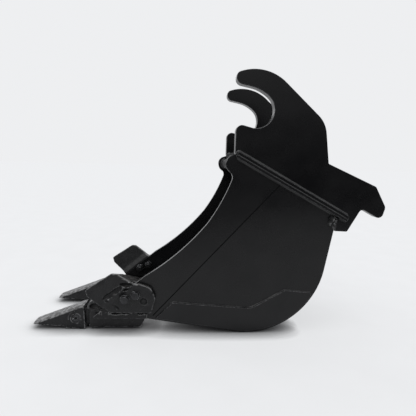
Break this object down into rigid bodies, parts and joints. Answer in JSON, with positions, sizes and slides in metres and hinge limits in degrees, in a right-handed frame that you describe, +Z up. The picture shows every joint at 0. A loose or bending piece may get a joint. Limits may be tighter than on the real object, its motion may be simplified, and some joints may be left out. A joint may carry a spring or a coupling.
{
  "type": "excavator bucket",
  "caption": "Narrow curved digging bucket with open coupler hooks on top, flared side cutters bolted on and pinned tooth tips on adapters.",
  "frame": {"origin": "on the ground plane, centred in the length and the width of the bucket as it rests on its heel and teeth", "axes": "+Z up, teeth point to -X, rear hook noses to +X, Y is the bucket's width"},
  "size_m": [1.4241, 0.53, 1.0575],
  "materials": {
    "plate_paint": "satin black paint on rolled plate",
    "wear_plate_paint": "satin black paint on wear plate",
    "hook_paint": "satin black paint on flame-cut plate",
    "lip_paint": "satin black paint on machined lip",
    "cast_paint": "black paint on sand-cast steel",
    "tip_paint": "thin black paint on cast tip, edges bare",
    "cutter_paint": "satin black paint on cast cutter",
    "bolt_steel": "black-oxide fasteners",
    "pin_steel": "phosphated lock pin",
    "retainer_rubber": "moulded rubber"
  },
  "bodies": {
    "bucket": {"shell_plate": "plate_paint", "lip_plate": "lip_paint", "heel_strip_left": "wear_plate_paint", "heel_strip_middle": "wear_plate_paint", "heel_strip_right": "wear_plate_paint", "top_plate": "plate_paint", "hook_base_plate": "hook_paint", "front_cross_tube": "plate_paint", "side_plate_left": "plate_paint", "side_plate_right": "plate_paint", "side_wear_plate_left": "wear_plate_paint", "side_wear_plate_right": "wear_plate_paint", "hook_plate_left": "hook_paint", "hook_plate_right": "hook_paint", "tooth_adapter_left": "cast_paint", "tooth_adapter_right": "cast_paint", "tooth_tip_left": "tip_paint", "tooth_tip_right": "tip_paint", "pin_retainer_left": "retainer_rubber", "pin_retainer_right": "retainer_rubber", "side_cutter_left": "cutter_paint", "side_cutter_right": "cutter_paint", "cutter_bolts_left": "bolt_steel", "cutter_bolts_right": "bolt_steel", "cutter_washers_left": "bolt_steel", "cutter_washers_right": "bolt_steel", "cutter_nuts_left": "bolt_steel", "cutter_nuts_right": "bolt_steel"},
    "lock_pin_left": {"lock_pin_left": "pin_steel"},
    "lock_pin_right": {"lock_pin_right": "pin_steel"}
  },
  "joints": [
    {"name": "lock_turn_left", "type": "hinge", "parent": "bucket", "child": "lock_pin_left", "pos_m": [-0.535, -0.151, 0.046], "axis": [0, 1, 0], "range_deg": [0, 90]},
    {"name": "lock_turn_right", "type": "hinge", "parent": "bucket", "child": "lock_pin_right", "pos_m": [-0.535, 0.151, 0.046], "axis": [0, 1, 0], "range_deg": [0, 90]}
  ]
}
